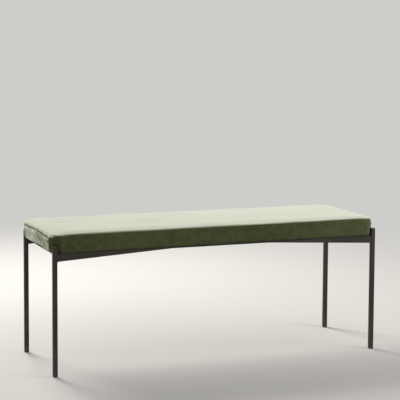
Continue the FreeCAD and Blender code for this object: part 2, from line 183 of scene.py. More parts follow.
def powder_coat():
    coat = Finish("powder_coat")
    x, y, z = coat.along()
    cloud = coat.grain(COAT_CLOUDS, 3.0)
    from_side = x.size() - (OUTER_X - TUBE / 2)
    from_face = y.size() - (OUTER_Y - TUBE / 2)
    on_leg = (from_side > -TUBE / 2 - LEG_MARGIN) * (from_face > -TUBE / 2 - LEG_MARGIN)
    to_arris = from_side.size().math("MINIMUM", from_face.size())
    arris = to_arris.smooth(TUBE / 2 - WEAR_START, TUBE / 2 - WEAR_FULL)
    chips = coat.grain(KNOCKS, 3.0, rough=0.65).smooth(0.60, 0.70)
    knocks = chips * coat.grain(KNOCKED_PLACES, 1.0).smooth(0.50, 0.62)
    worn = on_leg * arris * knocks
    specks = coat.grain(DUST_SPECKS, 4.0).smooth(0.42, 0.75)
    dust = (1 - z.smooth(0.0, DUST_HEIGHT)) * specks * DUST_COVERS
    colour = coat.blend(cloud.smooth(0.3, 0.7), COAT_BLACK, COAT_GREY)
    colour = coat.blend(worn, colour, COAT_KNOCKED)
    colour = coat.blend(dust, colour, FLOOR_DUST)
    return coat.give(Base_Color=colour, Roughness=0.50 + cloud * 0.12 + dust * 0.3 - worn * 0.1,
                     Specular_IOR_Level=COAT_SPECULAR,
                     Normal=coat.bump(coat.grain(COAT_GRAIN), COAT_DEPTH, 0.55))


dress(STEEL_NODES, powder_coat())

# Weld beads: short fillets laid in the corners of the frame, under the same powder coat. They keep the
# ripples of the weld pool and a few pits.
WELD_RIPPLES = 620
RIPPLE_WANDER = 0.004
WANDER_GRAIN = 90
WELD_PITS = 700
WELD_DEPTH = 0.0004


def coated_weld():
    bead = Finish("coated_weld")
    x, y, z = bead.along()
    wander = bead.grain(WANDER_GRAIN) * RIPPLE_WANDER
    ripple = ((x + y + z + wander) * (2 * math.pi * WELD_RIPPLES)).math("SINE")
    return bead.give(Base_Color=bead.blend(ripple.smooth(-1, 1), COAT_BLACK, COAT_GREY), Roughness=0.48,
                     Specular_IOR_Level=COAT_SPECULAR,
                     Normal=bead.bump(ripple * 0.5 + bead.grain(WELD_PITS) * 0.6, WELD_DEPTH))


dress(["frame_welds"], coated_weld())

# Top caps and foot glides: moulded black plastic plugs pushed into the ends of the tubes. The glides are
# scuffed where they slide on the floor.
PLASTIC_BLACK = (0.024, 0.024, 0.023)
PLASTIC_SCUFF = (0.13, 0.125, 0.118)
MOULD_GRAIN = 2600
MOULD_DEPTH = 0.00005
SCUFF_GRAIN = 900
SCUFF_ALONG = (0.25, 1, 1)  # the scratches run along the bench
SCUFF_FULL = 0.0004         # height to which a glide is scuffed all over
SCUFF_HEIGHT = 0.0022


def moulded_plastic():
    plastic = Finish("moulded_plastic")
    z = plastic.along()[2]
    scratches = plastic.grain(SCUFF_GRAIN, 3.0, stretch=SCUFF_ALONG).smooth(0.45, 0.6)
    scuff = (1 - z.smooth(SCUFF_FULL, SCUFF_HEIGHT)) * scratches
    return plastic.give(Base_Color=plastic.blend(scuff, PLASTIC_BLACK, PLASTIC_SCUFF),
                        Roughness=0.42 + scuff * 0.3, Specular_IOR_Level=0.5,
                        Normal=plastic.bump(plastic.grain(MOULD_GRAIN, 1.0), MOULD_DEPTH, 0.4))


dress([plug + corner for plug in ("top_cap_", "foot_glide_") for corner in CORNERS], moulded_plastic())

# Seat board: birch plywood, sanded and unsealed, with its grain along the bench. Its faces show the wood's
# figure and pores, and its edges the layers.
PLY_PALE = (0.62, 0.47, 0.30)
PLY_DARK = (0.42, 0.28, 0.15)
PLY_LAYER = 0.0014
PLY_FIGURE = 16
PLY_PORES = 900
PLY_DEPTH = 0.0002


def plywood():
    wood = Finish("plywood")
    z = wood.along()[2]
    facing = wood.node("SeparateXYZ", output=2,
                       inputs={"Vector": wood.node("NewGeometry", output="Normal")})
    figure = wood.grain(PLY_FIGURE, 5.0, stretch=(0.12, 1, 1), rough=0.62)
    pores = wood.grain(PLY_PORES, stretch=(0.04, 1, 1)).smooth(0.56, 0.7)
    layers = ((z / (2 * PLY_LAYER)).math("FRACT") > 0.5) * 0.8 + 0.1
    share = wood.node("Mix", inputs={0: facing.size().smooth(0.4, 0.6), 2: layers,
                                     3: figure.smooth(0.3, 0.72) * 0.7 + pores * 0.25})
    return wood.give(Base_Color=wood.blend(share, PLY_PALE, PLY_DARK), Roughness=0.72,
                     Normal=wood.bump(figure + pores * -0.5, PLY_DEPTH, 0.4))


dress(["seat_board"], plywood())

# Fasteners: galvanised staples that hold the cloth to the board, bright zinc tee nuts in the board, and the
# black zinc bolts and washers that hold the pad on the frame. Each metal has its colour, roughness and nodes.
METALS = {"galvanised_wire": ((0.60, 0.60, 0.61), 0.42, ["hem_staples", "dust_cover_staples"]),
          "zinc_plate": ((0.66, 0.66, 0.64), 0.30, ["tee_nuts"]),
          "black_zinc": ((0.055, 0.055, 0.058), 0.36, ["seat_bolts", "bolt_washers"])}
PLATE_BLOOM = 420
PLATE_DULL = 0.72           # brightness left in the middle of a bloom
PLATE_GRAIN = 2200
PLATE_DEPTH = 0.00004


def plated(name, colour, roughness):
    plate = Finish(name)
    bloom = plate.grain(PLATE_BLOOM, 3.0)
    dull = tuple(PLATE_DULL * part for part in colour)
    return plate.give(Base_Color=plate.blend(bloom.smooth(0.35, 0.7), colour, dull), Metallic=1.0,
                      Roughness=roughness + bloom * 0.16,
                      Normal=plate.bump(plate.grain(PLATE_GRAIN), PLATE_DEPTH, 0.5))


for name, (colour, roughness, nodes) in METALS.items():
    dress(nodes, plated(name, colour, roughness))

# Seat pad: foam and polyester wadding on the board, under cotton velvet. One panel of velvet runs over the
# top, the front and the back, turns under the board and is stapled there, and an end panel is sewn in at each
# end. The pad is one closed form that wraps round the board's edge.
BOARD_LOW, BOARD_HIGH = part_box("seat_board")
PAD_LOW, PAD_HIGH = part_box("velvet_wrap")
LEG_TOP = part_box("top_cap_front_left")[1].z
PAD_INSET = 0.001           # of the pad's side from the legs' outer faces
SKIN = OUTER_X - BOARD_HIGH.x - PAD_INSET
HEM = 0.050                 # velvet turned under, from the board's edge
HEM_CORNER = 0.004
LINING_GAP = 0.0003         # between the board and what is wrapped round it
LEG_GAP = 0.0010            # between a leg and the pad's rounded corner
ARRIS = 0.0015
BULGE = 0.0015              # of the side past the legs' outer faces
CORNER_EASE = 0.009         # how much smaller the plan corner is at the bulge
CAP_GAP = 0.0005
SWELL = 0.014               # height of the swell over the caps
ROLL_FOOT = LEG_TOP + CAP_GAP + SWELL
ROLL_HEIGHT = 0.0255
ROLL_REACH = 0.020
ROLL_POWER = 2 / 2.8        # makes the roll a little squarer than a quarter round
CROWN_WIDTH = 0.060
CROWN_CORNER = 0.020
PILLOW = 0.0012             # rise of the seat's middle over the CAD's flat crown
END_SEAM_DROP = 0.0175      # of an end panel's top seam from the crown
END_MARGIN = 0.038          # of its upright seams from the front and back
EDGE_DEGREES = np.arange(-90, 1, 10)    # where the profile has its points round the lower edge
ROLL_DEGREES = np.arange(2, 86, 2)      # and round the roll
SWELL_POINTS = 13
CROWN_POINTS = 20
FINE_STEP = 0.0044          # spacing of the pad's mesh round its ends, before it is subdivided
LONG_STEP = 0.0132          # and along its length
CROWN_STEP = 0.0075
SEAM_STEPS = (-0.0062, -0.0024, 0, 0.0024, 0.0062)
TOUCHING = 1e-6


def pad_profile():
    """Inset, height and plan corner radius, from the lining's edge on the board out to the flat crown."""
    diagonal = math.sqrt(2)
    corner = (diagonal * (TUBE - PAD_INSET) + LEG_GAP) / (diagonal - 1) - ARRIS
    edge = PAD_INSET + SKIN - LINING_GAP
    rows = [(edge, BOARD_HIGH.z + LINING_GAP, corner + PAD_INSET - edge),
            (edge, BOARD_LOW.z - LINING_GAP, corner + PAD_INSET - edge),
            (edge + HEM, BOARD_LOW.z - LINING_GAP, HEM_CORNER),
            (edge + HEM, PAD_LOW.z, HEM_CORNER)]
    for look in np.radians(EDGE_DEGREES):
        inset = PAD_INSET + SKIN * (1 - math.cos(look))
        rows.append((inset, PAD_LOW.z + SKIN * (1 + math.sin(look)), corner + PAD_INSET - inset))
    for part in np.linspace(0, 1, SWELL_POINTS):
        swing = (1 - math.cos(math.pi * part)) / 2
        rows.append((PAD_INSET - swing * (PAD_INSET + BULGE), LEG_TOP + CAP_GAP + part * SWELL,
                     corner - swing * CORNER_EASE))
    for turn in np.radians(ROLL_DEGREES):
        drawn_in = ROLL_REACH * (1 - math.cos(turn) ** ROLL_POWER)
        rows.append((drawn_in - BULGE, ROLL_FOOT + ROLL_HEIGHT * math.sin(turn) ** ROLL_POWER,
                     corner - CORNER_EASE - drawn_in))
    edge_inset, edge_height, edge_corner = rows[-1]
    for part in np.linspace(1 / CROWN_POINTS, 1, CROWN_POINTS):
        rows.append((edge_inset + part * CROWN_WIDTH,
                     PAD_HIGH.z - (PAD_HIGH.z - edge_height) * (1 - part) ** 2,
                     edge_corner + part * (CROWN_CORNER - edge_corner)))
    return np.array(rows)


def measured(points):
    """Distance along a row of points."""
    return np.concatenate([[0], np.cumsum(np.hypot(*np.diff(points[:, :2], axis=0).T))])


def spaced(stops, steps):
    """Evenly spaced places between fixed stops, with one step for each stretch."""
    places = [stops[0]]
    for low, high, step in zip(stops, stops[1:], steps):
        count = max(1, round((high - low) / step))
        places += [low + (high - low) * k / count for k in range(1, count + 1)]
    return np.array(places)


PROFILE = pad_profile()
PROFILE_RUN = measured(PROFILE)
LINING_RUNS = PROFILE_RUN[:4]
SIDE_START = PROFILE_RUN[4]
CROWN_START = PROFILE_RUN[-CROWN_POINTS - 1]
CROWN_END = PROFILE_RUN[-1]
rising = PROFILE[:, 1] > ROLL_FOOT
SEAM_RUN = float(np.interp(PAD_HIGH.z - END_SEAM_DROP, PROFILE[rising, 1], PROFILE_RUN[rising]))


def side_length(reach, radius):
    """From mid-side to the middle of the corner's arc."""
    return reach - radius + radius * math.pi / 4


def round_side(share, reach, across, radius):
    """Along and in from a side's middle, for a share of the way to the middle of the corner's arc."""
    run = np.abs(share) * side_length(reach, radius)
    turn = np.clip((run - (reach - radius)) / radius, 0, None)
    along = np.where(turn > 0, reach - radius + radius * np.sin(turn), run)
    return np.sign(share) * along, across - radius + radius * np.cos(turn)


WIDE_CORNER = float(np.interp(ROLL_FOOT, PROFILE[4:, 1], PROFILE[4:, 2]))
END_RUN = side_length(OUTER_Y + BULGE, WIDE_CORNER)
LONG_RUN = side_length(OUTER_X + BULGE, WIDE_CORNER)
SEAM_Y = OUTER_Y - END_MARGIN


def shares(stops, steps, run):
    """Symmetric shares of a side from -1 to 1, stopping at set distances from its middle."""
    half = spaced(stops, steps) / run
    return np.concatenate([-half[:0:-1], half])


END_SHARES = shares([0] + [SEAM_Y + step for step in SEAM_STEPS] + [END_RUN], [FINE_STEP] * 6, END_RUN)
LONG_SHARES = shares([0, OUTER_X - 2 * WIDE_CORNER, LONG_RUN], [LONG_STEP, FINE_STEP], LONG_RUN)
LINING_RINGS = spaced(PROFILE_RUN[:5], [LONG_STEP] * 4)[:-1]
OUTER_RINGS = spaced([SIDE_START] + [SEAM_RUN + step for step in SEAM_STEPS] + [CROWN_START, CROWN_END],
                     [FINE_STEP] * 6 + [CROWN_STEP])


def side_grid(shares_along, reach, across):
    """A side's points and their profile runs, one row per ring."""
    points, runs = [], []
    for run in np.concatenate([LINING_RINGS, OUTER_RINGS]):
        inset, z, radius = [float(np.interp(run, PROFILE_RUN, PROFILE[:, k])) for k in range(3)]
        along, out = round_side(shares_along, reach - inset, across - inset, radius)
        points.append(np.stack([along, out, np.full_like(along, z)], -1))
        runs.append(np.full_like(along, run))
    return np.array(points), np.array(runs)


def filled_in(front, back, left, right, a, b):
    """A smooth grid between four edges."""
    a = a[:, None, None]
    b = b[None, :, None]
    return ((1 - b) * front[:, None] + b * back[:, None] + (1 - a) * left[None] + a * right[None]
            - (1 - a) * (1 - b) * front[0] - a * (1 - b) * front[-1]
            - (1 - a) * b * back[0] - a * b * back[-1])


def pad_grids():
    """The pad's five grids: points, distance from mid-end, profile run, and whether the faces turn over."""
    long_points, long_runs = side_grid(LONG_SHARES, OUTER_X, OUTER_Y)
    end_points, end_runs = side_grid(END_SHARES, OUTER_Y, OUTER_X)
    from_long = np.broadcast_to(END_RUN + (1 - np.abs(LONG_SHARES)) * LONG_RUN, long_runs.shape)
    from_mid = np.broadcast_to(np.abs(END_SHARES) * END_RUN, end_runs.shape)
    grids = [(long_points * (1, face, 1), from_long, long_runs, face > 0) for face in FACES.values()]
    grids += [(end_points[..., [1, 0, 2]] * (side, 1, 1), from_mid, end_runs, side < 0)
              for side in SIDES.values()]
    front, back, left, right = [grid[0][-1] for grid in grids]
    top = filled_in(front, back, left, right, (LONG_SHARES + 1) / 2, (END_SHARES + 1) / 2)
    top[..., 2] += PILLOW * np.clip(1 - (top[..., 0] / front[:, 0].max()) ** 4, 0, 1) * \
        np.clip(1 - (top[..., 1] / right[:, 1].max()) ** 2, 0, 1)
    to_side, to_end = np.meshgrid((1 - np.abs(LONG_SHARES)) * LONG_RUN,
                                  (1 - np.abs(END_SHARES)) * END_RUN, indexing="ij")
    grids.append((top, END_RUN + to_side, CROWN_END + np.minimum(to_side, to_end), True))
    return grids


def woven(name, grids):
    """One mesh from grids that meet, with both runs as attributes and the lining's edges creased."""
    verts, faces, from_end, runs = [], [], [], []
    for points, side_run, profile_run, flip in grids:
        start = len(verts)
        rows, columns = points.shape[:2]
        verts += points.reshape(-1, 3).tolist()
        from_end += side_run.reshape(-1).tolist()
        runs += profile_run.reshape(-1).tolist()
        for i in range(rows - 1):
            for j in range(columns - 1):
                a = start + i * columns + j
                quad = (a, a + 1, a + columns + 1, a + columns)
                faces.append(quad[::-1] if flip else quad)
    mesh = bpy.data.meshes.new(name)
    mesh.from_pydata(verts, [], faces)
    for key, values in (("from_end", from_end), ("profile_run", runs)):
        mesh.attributes.new(key, "FLOAT", "POINT").data.foreach_set("value", values)
    shaped = bmesh.new()
    shaped.from_mesh(mesh)
    bmesh.ops.remove_doubles(shaped, verts=shaped.verts, dist=TOUCHING)
    shaped.to_mesh(mesh)
    shaped.free()
    run = attribute(mesh, "profile_run")
    creased = [float(any(abs(run[a] - stop) + abs(run[b] - stop) < TOUCHING for stop in LINING_RUNS))
               for a, b in (edge.vertices for edge in mesh.edges)]
    mesh.attributes.new("crease_edge", "FLOAT", "EDGE").data.foreach_set("value", creased)
    return mesh


def close_lining(mesh):
    """A flat plate over the board's top, which closes the pad."""
    shaped = bmesh.new()
    shaped.from_mesh(mesh)
    rim = [edge for edge in shaped.edges if edge.is_boundary]
    for plate in bmesh.ops.holes_fill(shaped, edges=rim, sides=0)["faces"]:
        plate.normal_update()
        if plate.normal.z > 0:
            plate.normal_flip()
    shaped.to_mesh(mesh)
    shaped.free()


def add_piece(name, mesh):
    piece = bpy.data.objects.new(name, mesh)
    bpy.context.scene.collection.objects.link(piece)
    return piece


def finished(piece):
    """The piece's mesh with its modifiers worked in."""
    graph = bpy.context.evaluated_depsgraph_get()
    made = bpy.data.meshes.new_from_object(piece.evaluated_get(graph), depsgraph=graph)
    piece.modifiers.clear()
    old = piece.data
    piece.data = made
    bpy.data.meshes.remove(old)
    return made


def shade_smooth(mesh):
    for polygon in mesh.polygons:
        polygon.use_smooth = True


def coordinates(mesh):
    values = np.empty(len(mesh.vertices) * 3, np.float32)
    mesh.vertices.foreach_get("co", values)
    return values.reshape(-1, 3).astype(float)


def normals(mesh):
    values = np.empty(len(mesh.vertices) * 3, np.float32)
    mesh.vertex_normals.foreach_get("vector", values)
    return values.reshape(-1, 3).astype(float)


def attribute(mesh, name):
    values = np.empty(len(mesh.vertices), np.float32)
    mesh.attributes[name].data.foreach_get("value", values)
    return values.astype(float)


def keep_attribute(mesh, name, values):
    mesh.attributes.new(name, "FLOAT", "POINT").data.foreach_set("value", values.astype(np.float32))


def write_back(mesh, points):
    mesh.vertices.foreach_set("co", points.astype(np.float32).reshape(-1))
    mesh.update()


def between(low, high, values):
    """0 up to low, 1 from high on, and a soft ramp between. High may lie below low."""
    share = np.clip((values - low) / (high - low), 0, 1)
    return share * share * (3 - 2 * share)


def bell(values, width):
    return np.exp(-(values / width) ** 2)


# The velvet's swell: it is blown up as loose cloth, which the hem, the seams and the legs hold back in folds.
# The foam sets the pad's broad form, so only the folds are kept.
SEAM_CORNER = 0.006         # radius where an end panel's seams meet
SEAM_HOLD = 0.004           # half-width of the cloth that a seam draws together
SEAM_TAKE_UP = 0.018        # how much shorter the sewn edges are than the cloth beside them
PANEL_SLACK = 0.045         # how much larger an end panel is cut than the end it covers
HEM_HOLD = 0.012            # height of the side that the hem's staples hold still
LEG_HOLD = 0.030            # width of the corner that a leg holds still
LEG_HOLD_ENDS = (LEG_TOP - 0.006, LEG_TOP + 0.012)
PRESSURE = 1.6
VELVET_MASS = 0.3
VELVET_STRETCH = 12
VELVET_SHEAR = 6
VELVET_BEND = 0.4
SWELL_FRAMES = 20
SWELL_LIMIT = 0.0045
FOAM_GIVE = 0.0012          # how far the velvet may sink into the foam
BROAD_PASSES = 90
TOP_CALM = 0.85             # share of the folds that the foam's crown pulls out of the top
TOP_CALM_ENDS = (CROWN_START - 0.006, CROWN_START + 0.016)


def panel_distance(from_end, run):
    """Distance from the seam round an end panel, below 0 on the panel."""
    across, up = from_end - SEAM_Y + SEAM_CORNER, run - SEAM_RUN + SEAM_CORNER
    outside = np.hypot(np.maximum(across, 0), np.maximum(up, 0))
    return outside + np.minimum(np.maximum(across, up), 0) - SEAM_CORNER


def evened(mesh, values, passes):
    """Values evened out over the mesh, which leaves only their broad swells."""
    ends = np.empty(len(mesh.edges) * 2, np.int32)
    mesh.edges.foreach_get("vertices", ends)
    first, second = ends.reshape(-1, 2).T
    total = len(values)
    count = np.bincount(first, minlength=total) + np.bincount(second, minlength=total)
    for _ in range(passes):
        near = np.bincount(first, values[second], total) + np.bincount(second, values[first], total)
        values = (values + near / count) / 2
    return values


def swell_cover(skin):
    """Blow the velvet up against its stapled hem, its seams and the legs, and keep the folds."""
    mesh = skin.data
    rest = coordinates(mesh)
    outward = normals(mesh)
    run = attribute(mesh, "profile_run")
    from_end = attribute(mesh, "from_end")
    at_leg = bell(from_end - END_RUN, LEG_HOLD) * (1 - between(*LEG_HOLD_ENDS, rest[:, 2]))
    held = skin.vertex_groups.new(name="held")
    held.add(np.nonzero((run < SIDE_START + HEM_HOLD) | (at_leg > 0.5))[0].tolist(), 1.0, "REPLACE")
    cut = skin.vertex_groups.new(name="cut")
    distance = panel_distance(from_end, run)
    loose = (distance < -SEAM_HOLD) & (run > SIDE_START)
    tight = bell(distance, SEAM_HOLD) > 0.3
    as_drawn = PANEL_SLACK / (PANEL_SLACK + SEAM_TAKE_UP)
    for chosen, weight in ((loose, 0.0), (tight, 1.0), (~loose & ~tight, as_drawn)):
        cut.add(np.nonzero(chosen)[0].tolist(), weight, "REPLACE")
    cloth = skin.modifiers.new("cloth", "CLOTH")
    settings = cloth.settings
    settings.quality = 5
    settings.mass = VELVET_MASS
    settings.tension_stiffness = settings.compression_stiffness = VELVET_STRETCH
    settings.shear_stiffness = VELVET_SHEAR
    settings.bending_stiffness = VELVET_BEND
    settings.use_pressure = True
    settings.uniform_pressure_force = PRESSURE
    settings.vertex_group_mass = "held"
    settings.vertex_group_shrink = "cut"
    settings.shrink_min = -PANEL_SLACK
    settings.shrink_max = SEAM_TAKE_UP
    settings.effector_weights.gravity = 0
    cloth.collision_settings.use_collision = False
    scene = bpy.context.scene
    for step in range(1, SWELL_FRAMES + 1):
        scene.frame_set(step)
    graph = bpy.context.evaluated_depsgraph_get()
    moved = coordinates(skin.evaluated_get(graph).data) - rest
    skin.modifiers.remove(cloth)
    scene.frame_set(1)
    skin.vertex_groups.clear()
    swell = np.einsum("ij,ij->i", moved, outward)
    creases = swell - evened(mesh, swell, BROAD_PASSES)
    moved += outward * (np.maximum(creases, -FOAM_GIVE) - swell)[:, None]
    reach = np.linalg.norm(moved, axis=1, keepdims=True)
    free = (1 - at_leg) * (1 - TOP_CALM * between(*TOP_CALM_ENDS, run))
    moved *= np.minimum(1, SWELL_LIMIT / np.maximum(reach, 1e-9)) * free[:, None]
    write_back(mesh, rest + moved)


# How the pad settles: each leg presses up a lobe on both sides of it, and above the legs the pad leans a
# little to the left. The feet, heads and ends of these effects are heights.
TOP_SHIFT = 0.0040          # how far the pad leans to the left above the legs
TOP_STRETCH = 0.0017        # how much it spreads to both ends, for each metre from its middle
LEAN_ENDS = (PAD_LOW.z + 0.004, ROLL_FOOT)
LOBE_PLACE = 0.020          # from the middle of a corner to the lobes beside its leg
LOBE_WIDTH = 0.012
LOBE_FOOT = (PAD_LOW.z - 0.003, PAD_LOW.z + 0.004)
LOBE_HEAD = (LEG_TOP - 0.004, ROLL_FOOT)
LOBE_LOSS = 0.9             # share of a lobe that is lost over the leg's top
END_LOBE = 0.0052
FACE_LOBE = 0.0045
LEG_PRESS = 0.0025          # how hard the pad lies against a leg
PRESS_WIDTH = 0.014
PRESS_FOOT = (PAD_LOW.z - 0.002, PAD_LOW.z + 0.001)
PRESS_HEAD = (LEG_TOP - 0.002, LEG_TOP + 0.010)
UPRIGHT = 0.3               # level share of a normal, below which a push to the side fades
LEG_TOUCH = 0.0004
CORNER_SEAT = 0.6           # how much of its lower rounding the pad loses where it sits down beside a leg
SEAT_WIDTH = 0.035
CORNER_DROOP = 0.0020       # of the top corners
FULL_CORNER = 0.0032        # how much higher the back left corner is stuffed than the others
DROOP_REACH = 0.040
DROOP_ENDS = (ROLL_FOOT, PAD_HIGH.z - 0.004)


def clear_of_legs(points):
    """Set points that a fold has pushed into a leg back against its inner faces."""
    past_x = np.abs(points[:, 0]) - (OUTER_X - TUBE - LEG_TOUCH)
    past_y = np.abs(points[:, 1]) - (OUTER_Y - TUBE - LEG_TOUCH)
    inside = (past_x > 0) & (past_y > 0) & (points[:, 2] < LEG_TOP + LEG_TOUCH)
    across = np.where(inside & (past_x < past_y), past_x, 0)
    deep = np.where(inside & (past_x >= past_y), past_y, 0)
    points[:, 0] -= np.sign(points[:, 0]) * across
    points[:, 1] -= np.sign(points[:, 1]) * deep


def settle(mesh):
    """The pad's lean, the lobes that each leg presses up beside it, and the drooping top corners."""
    points = coordinates(mesh)
    outward = normals(mesh)
    from_end = attribute(mesh, "from_end")
    height = points[:, 2].copy()
    at_leg = bell(from_end - END_RUN, PRESS_WIDTH) * (1 - between(*PRESS_HEAD, height))
    lean = between(*LEAN_ENDS, height) * (1 - at_leg)
    points[:, 0] -= (TOP_SHIFT - TOP_STRETCH * points[:, 0]) * lean
    beside = bell(np.abs(from_end - END_RUN) - LOBE_PLACE, LOBE_WIDTH)
    beside *= between(*LOBE_FOOT, height)
    beside *= 1 - LOBE_LOSS * between(*LOBE_HEAD, height)
    beside *= np.where(from_end < END_RUN, END_LOBE, FACE_LOBE)
    beside += LEG_PRESS * at_leg * between(*PRESS_FOOT, height)
    level = outward[:, :2] / np.maximum(np.hypot(outward[:, 0], outward[:, 1]), UPRIGHT)[:, None]
    points[:, :2] += level * beside[:, None]
    rounding = np.clip(height - PAD_LOW.z, 0, SKIN)
    points[:, 2] -= CORNER_SEAT * bell(from_end - END_RUN, SEAT_WIDTH) * rounding * (1 - rounding / SKIN)
    to_corner = np.hypot(OUTER_X - np.abs(points[:, 0]), OUTER_Y - np.abs(points[:, 1]))
    droop = CORNER_DROOP - FULL_CORNER * ((points[:, 0] < 0) & (points[:, 1] > 0))
    points[:, 2] -= droop * bell(to_corner, DROOP_REACH) * between(*DROOP_ENDS, height)
    clear_of_legs(points)
    write_back(mesh, points)


def wave(places, pitch, seed):
    """Uneven waves along a line, from -1 to 1."""
    places = [Vector((place / pitch, seed, 0.5 * seed)) for place in places.tolist()]
    return np.array([noise.noise(place) for place in places]) * 1.6


def cloud(points, scale, seed):
    """Uneven patches over a surface, from -1 to 1. Scale is in repeats a metre each way."""
    places = (points * np.array(scale) + seed).tolist()
    return np.array([noise.fractal(Vector(place), 1.0, 2.0, 3) for place in places])


# The sewing: a groove with a welt and puckers along an end panel's seams, gathers and creases that fall from
# its top seam, pulls over the hem's staples, and faint patches and strokes on the velvet.
END_OFFSET = 3.1            # sets the two ends' folds apart, so that they aren't twins
SEAM_DEPTH = 0.0032
SEAM_WIDTH = 0.0023
WELT_HEIGHT = 0.0011
WELT_PLACE = 0.0085
WELT_WIDTH = 0.0055
PUCKER_HEIGHT = 0.0012
PUCKER_PITCH = 0.012
PUCKER_REACH = 0.008
GATHER_HEIGHT = 0.0008
GATHER_PITCH = 0.024
GATHER_DRIFT = 0.4          # how far the gathers lean as they fall
DRIFT_PITCH = 0.08
GATHER_FALL = 0.030
GATHER_LEFT = 0.35          # share of a gather that reaches the panel's foot
CREASE_DEPTH = 0.0024
CREASE_SHARE = 0.22         # width of a crease between two gathers
PULL_HEIGHT = 0.0007
PULL_PITCH = 0.030          # half the pitch of the staples under the hem
PULL_PLACE = 0.012
PULL_WIDTH = 0.014
PATCH_HEIGHT = 0.0015
TOP_PATCH_LOSS = 0.0011     # how much lower the patches are on the top
PATCHES = (7, 9, 14)
STROKE_HEIGHT = 0.0002
STROKES = (15, 44, 44)
HEM_ENDS = (SIDE_START - 0.002, SIDE_START + 0.006)
# Painted sheen and light in the velvet's colour, from 0 where it is dark to 1 where it is pale: on the top,
# over the end panels and at the back corners. Painted shade darkens the creases and the seam's groove.
PAINTED_SHEEN_TURN = (0.49, 0.79)   # how level the velvet lies where the painted sheen turns from dark to pale
PAINTED_SHEEN_RIGHT_TURN = 0.08       # how much later it turns towards the right
PAINTED_SHEEN_LEFT_END = 0.82
PAINTED_SHEEN_OVER_PANEL = 0.95
OVER_PANEL_FACING = (0.62, 0.86)
OVER_PANEL_TILT = (0.05, 0.30)
PAINTED_SHEEN_BACK = 0.14
BACK_CORNER_ENDS = (END_RUN + 0.010, END_RUN + 0.070)
BACK_CORNER_HEAD = (CROWN_START - 0.030, CROWN_START)
PAINTED_LIGHT_RIGHT = 0.10
PAINTED_LIGHT_RIGHT_CORNER = 0.05
RIGHT_CORNER_WIDTH = 0.03
PAINTED_LIGHT_PANEL = 0.96
PANEL_FRONT_LOSS = 0.34     # how much darker the end panel's painted light is at its front, as painted shade
PANEL_FRONT_ENDS = (0.02, -0.15)
GATHER_SHADE = 0.10
CREASE_SHADE = 0.74
GROOVE_SHADE = 0.95
GROOVE_WIDE = 0.0038        # of the shade along the top seam
GROOVE_NARROW = 0.0022      # and along the upright seams


def painted_light_on_wrap(points, outward, run, from_end):
    """How pale the painted sheen and light make the wrap."""
    x, y = points[:, 0], points[:, 1]
    # Painted sheen: paler where the velvet faces up, turning later towards the right and a little darker at
    # the left end.
    turned = between(*PAINTED_SHEEN_TURN, outward[:, 2] - PAINTED_SHEEN_RIGHT_TURN * between(0.0, 0.5, x))
    pale = turned * (PAINTED_SHEEN_LEFT_END + (1 - PAINTED_SHEEN_LEFT_END) * between(-0.6, 0.6, x))
    # Painted sheen on the roll above each end panel.
    tilt = np.hypot(outward[:, 0], outward[:, 1])
    to_end = np.abs(outward[:, 0]) / np.maximum(tilt, OVER_PANEL_TILT[0])
    over_panel = between(*OVER_PANEL_FACING, to_end) * between(*OVER_PANEL_TILT, tilt)
    pale = np.maximum(pale, PAINTED_SHEEN_OVER_PANEL * over_panel * (run > SEAM_RUN))
    # Painted sheen along the back, full at its two corners below the crown.
    back = between(0.0, 0.10, y)
    corner = back * (1 - between(*BACK_CORNER_ENDS, from_end)) * (1 - between(*BACK_CORNER_HEAD, run))
    pale = np.maximum(pale, PAINTED_SHEEN_BACK * back + (1 - PAINTED_SHEEN_BACK) * corner)
    # Painted light towards the right end, more at its corner beside the leg.
    right_corner = bell(from_end - END_RUN - 0.01, RIGHT_CORNER_WIDTH)
    return np.maximum(pale, between(0.10, 0.60, x) * (PAINTED_LIGHT_RIGHT + PAINTED_LIGHT_RIGHT_CORNER * right_corner))


